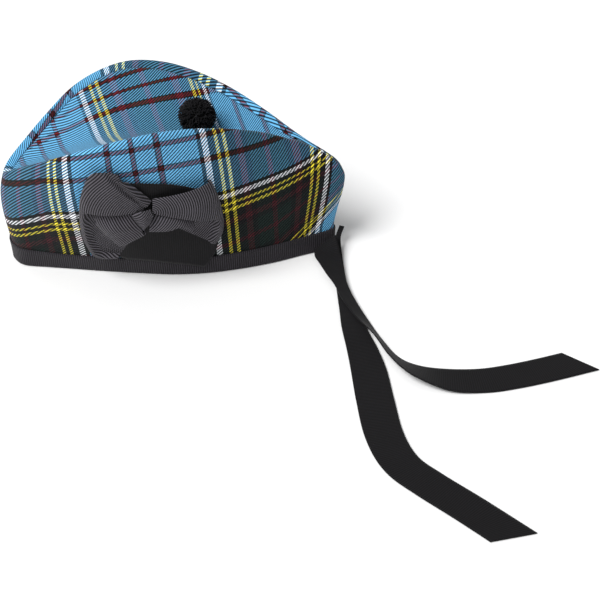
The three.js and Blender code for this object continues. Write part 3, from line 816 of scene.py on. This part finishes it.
# The smaller folds: rows of places on the panel with heights off it.
FRONT_FOLD = [
    [(-49, 80, 4.5), (-51.5, 81.5, 6), (-41, 82, 5.5), (-29.5, 80, 6.5), (-25, 76, 8)],
    [(-49, 70, 6), (-54, 71.5, 11.5), (-43, 70, 15), (-31, 68, 13.5), (-23, 67, 11)],
    [(-42, 58, 6.5), (-47, 58.5, 12.5), (-40, 58, 14.5), (-30, 59, 13), (-21.5, 61, 11)],
    [(-36.5, 49, 7), (-38.5, 47, 12), (-35.5, 47.5, 12.8), (-28, 52.5, 12.5), (-19.4, 57, 11)],
    [(-36, 51, 6), (-37, 50, 7), (-34.5, 50, 7), (-27, 55, 7), (-19, 59, 7)],
]
BACK_FOLD = [
    [(-15.5, 71.5, 6.5), (-7, 74, 6), (2, 74.5, 6), (10, 70, 6.5), (17.5, 62.5, 6.5)],
    [(-16, 66, 11.5), (-7, 68, 12.5), (2, 68, 12.5), (9.5, 65, 12), (16.5, 57, 10)],
    [(-16.7, 60.5, 11.5), (-7.5, 60.3, 12.5), (-1, 60.8, 13), (7, 62.8, 13), (14.5, 55, 11)],
    [(-16, 62, 8), (-7, 62, 8.5), (-1, 62.5, 8.5), (7, 64, 8.5), (14, 57, 7.5)],
]
TOP_TUCK = [
    [(-38, 108, 6.5), (-33, 109, 8.5), (-29, 107, 6)],
    [(-31, 97, 7), (-26, 98.5, 9.5), (-21, 97.5, 6)],
    [(-20, 82, 8), (-16.5, 84.5, 9), (-13, 87, 6)],
]
KNOT = [
    [(-27, 80, 9), (-21, 82.5, 12), (-14.5, 81, 9)],
    [(-28, 77, 10.5), (-20.5, 76.5, 14.2), (-13.5, 75, 11)],
    [(-25, 69, 10.5), (-20, 69, 13.8), (-15.5, 68.5, 11)],
    [(-22.5, 63, 8.5), (-20.5, 62, 11), (-18, 63, 8.5)],
]


def smooth_grid(rows, steps):
    """A finer grid through rows of points, both ways."""
    grid = np.array(rows, float)
    for axis, count in enumerate(steps):
        grid = np.moveaxis(grid, axis, 0)
        shape = grid.shape
        flat = grid.reshape(shape[0], -1)
        before, after = 2 * flat[0] - flat[1], 2 * flat[-1] - flat[-2]
        spare = np.vstack([before, before, flat, after, after])
        fine = curve_through(spare, np.linspace(0, shape[0] - 1, count))
        grid = np.moveaxis(fine.reshape((count,) + shape[1:]), 0, axis)
    return grid


def bow_sheet(name, grid, along, node, ribbon=grosgrain):
    """A bow piece from a grid of places on the panel and heights off it."""
    outer = off_panel(grid[..., 0], grid[..., 1], grid[..., 2])
    uv = np.stack(np.broadcast_arrays(along / BOW_RIB_PITCH, grid[..., 1]), -1)
    if grid_normals(outer)[..., 1].mean() > 0:
        outer, uv = outer[:, ::-1], uv[:, ::-1]
    inner = outer - grid_normals(outer) * RIBBON
    sheet(name, outer, inner, ribbon, node, {"cloth": uv})


def bow_loop(name, rim, node, crease, tuck=0.0):
    """A loop fanned out from the knot; below its crease the ribbon sinks behind the smaller fold, and
    above its tuck it drops towards the panel."""
    knot, edge = (np.array([pair[k] for pair in rim], float) for k in (0, 1))
    rows = [np.concatenate([knot + (edge - knot) * share, np.full((len(rim), 1), height)], 1)
            for share, height in LOOP_PROFILE]
    edge_height, sink, least_lift, droop, tuck_lift = 0.72, 8, 4.0, 0.25, 3.4
    fine = smooth_grid(rows, (LOOP_STEPS, LOOP_STEPS))
    evenly = np.linspace(0, 1, LOOP_STEPS)
    fine[..., 2] *= edge_height + (1 - edge_height) * np.sin(math.pi * evenly) ** 0.6
    out, fan = np.meshgrid(evenly, np.linspace(0, len(rim) - 1, LOOP_STEPS), indexing="ij")
    sunk = smooth(fan, crease, crease + 0.25) * (1 - smooth(out, 0.45, 0.6))
    fine[..., 2] -= np.minimum(sink * sunk, np.maximum(fine[..., 2] - least_lift, 0))
    fine[..., 2] *= 1 - droop * smooth(fan, crease + 0.2, crease + 1.2)
    if tuck:
        fine[..., 2] -= 0.5 * (fine[..., 2] - tuck_lift) * (1 - smooth(fan, tuck - 0.3, tuck))
    run = np.linalg.norm(fine[..., :2] - np.mean(knot, 0), axis=-1)
    bow_sheet(name, fine, run, node)


def bow():
    """The bow: its flat back, its two loops, the smaller folds and the knot."""
    xs, lows, highs = (np.array(c, float) for c in zip(*BACK_SHEET))
    x = np.linspace(xs[0], xs[-1], 61)[:, None]
    low, high = np.interp(x, xs, lows), np.interp(x, xs, highs)
    z = low + (high - low) * np.linspace(0, 1, 31)
    back = np.stack(np.broadcast_arrays(x, z, BOW_LIFT + RIBBON), -1)
    # The back sheet takes the darker, smoother tail ribbon as painted shade, for the shaded recess
    # behind the loops.
    bow_sheet("bow_back_ribbon", back, back[..., 0], "bow_back", tail_ribbon)
    bow_loop("bow_loop_front_ribbon", FRONT_LOOP, "bow_loop_front", crease=4.0, tuck=1.1)
    bow_loop("bow_loop_back_ribbon", BACK_LOOP, "bow_loop_back", crease=2.0)
    for name, rows, (by_x, by_z), node in (
        ("bow_fold_front_ribbon", FRONT_FOLD, (0.87, 0.5), None),
        ("bow_fold_back_ribbon", BACK_FOLD, (0.75, -0.66), None),
        ("bow_tuck_ribbon", TOP_TUCK, (0.6, 0.8), None),
        ("bow_knot_ribbon", KNOT, (0.6, -0.8), "bow_knot"),
    ):
        fine = smooth_grid(rows, (FOLD_STEPS, FOLD_STEPS))
        bow_sheet(name, fine, fine[..., 0] * by_x + fine[..., 1] * by_z, node)


def toorie_wool():
    """A dense ball of curled wool ends round a head."""
    low, high = (np.array(c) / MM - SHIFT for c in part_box("toorie"))
    centre = (low + high) / 2
    random = np.random.default_rng(11)
    strands, bends, sides = 900, 5, 5
    short_of_edge, length_spread, root, curled, thickness, taper = 0.6, 0.35, 0.55, 2.2, 0.75, 0.45
    golden = math.pi * (3 - math.sqrt(5))
    points, faces, uv = [], [], []
    for i in range(strands):
        z = 1 - (2 * i + 1) / strands
        ring = math.sqrt(1 - z * z)
        way = np.array([ring * math.cos(golden * i), ring * math.sin(golden * i), z])
        curl = np.cross(way, random.normal(size=3))
        curl /= np.linalg.norm(curl)
        length = TOORIE_RADIUS - short_of_edge + random.normal() * length_spread
        f = np.linspace(0, 1, bends)
        line = way * (length * (root + (1 - root) * f))[:, None] + curl * (curled * f * f)[:, None]
        line *= np.minimum(1, TOORIE_RADIUS / np.linalg.norm(line, axis=1))[:, None]
        other = np.cross(way, curl)
        angle = np.arange(sides) * 2 * math.pi / sides
        thick = thickness * (1 - taper * f)
        ring_points = line[:, None] + thick[:, None, None] * (
            np.cos(angle)[:, None] * curl + np.sin(angle)[:, None] * other)
        start = len(points)
        points.extend(ring_points.reshape(-1, 3) + centre)
        uv.extend([(k, 0) for k in np.repeat(f, sides)])
        for k in range(bends - 1):
            for j in range(sides):
                a, b = start + k * sides + j, start + k * sides + (j + 1) % sides
                faces.append((a, b, b + sides, a + sides))
        faces.append([start + j for j in range(sides)][::-1])
        faces.append([start + (bends - 1) * sides + j for j in range(sides)])
    piece("toorie_wool", points, faces, wool, "toorie", {"cloth": uv})


def studio():
    """A white floor and soft light from all round, strongest from the front left."""
    floor_size, floor_level = 40, -0.0002
    bpy.ops.mesh.primitive_grid_add(
        x_subdivisions=8, y_subdivisions=8, size=floor_size, location=(0, 0, floor_level))
    floor = bpy.context.object
    floor.name = "floor"
    material = bpy.data.materials.new("white floor")
    material.use_nodes = True
    shader = material.node_tree.nodes["Principled BSDF"]
    shader.inputs["Base Color"].default_value = (0.93, 0.93, 0.93, 1)
    shader.inputs["Roughness"].default_value = 0.9
    floor.data.materials.append(material)
    world = bpy.data.worlds.new("studio")
    bpy.context.scene.world = world
    world.use_nodes = True
    sky = world.node_tree.nodes["Background"]
    sky.inputs["Color"].default_value = (1, 1, 1, 1)
    sky.inputs["Strength"].default_value = 0.32
    for name, kind, place, power, size in (
        ("key", "SUN", (-1.0, -0.75, 1.5), 3.3, 0.6),
        ("fill", "AREA", (-0.3, -1.6, 0.9), 3, 1.2),
        ("back", "AREA", (-0.6, 1.0, 1.6), 4, 1.2),
    ):
        data = bpy.data.lights.new(name, kind)
        data.energy = power
        if kind == "SUN":
            data.angle = size
        else:
            data.size = size
        lamp = bpy.data.objects.new(name, data)
        lamp.location = place
        lamp.rotation_euler = (-Vector(place)).to_track_quat("-Z", "Y").to_euler()
        bpy.context.collection.objects.link(lamp)
    bpy.context.scene.view_settings.view_transform = "Standard"


place_camera()
for tail_name, route in TAIL_ROUTES.items():
    tail(tail_name, route)
side_panels()
crown_top()
binding_ribbon()
bow()
toorie_wool()
studio()
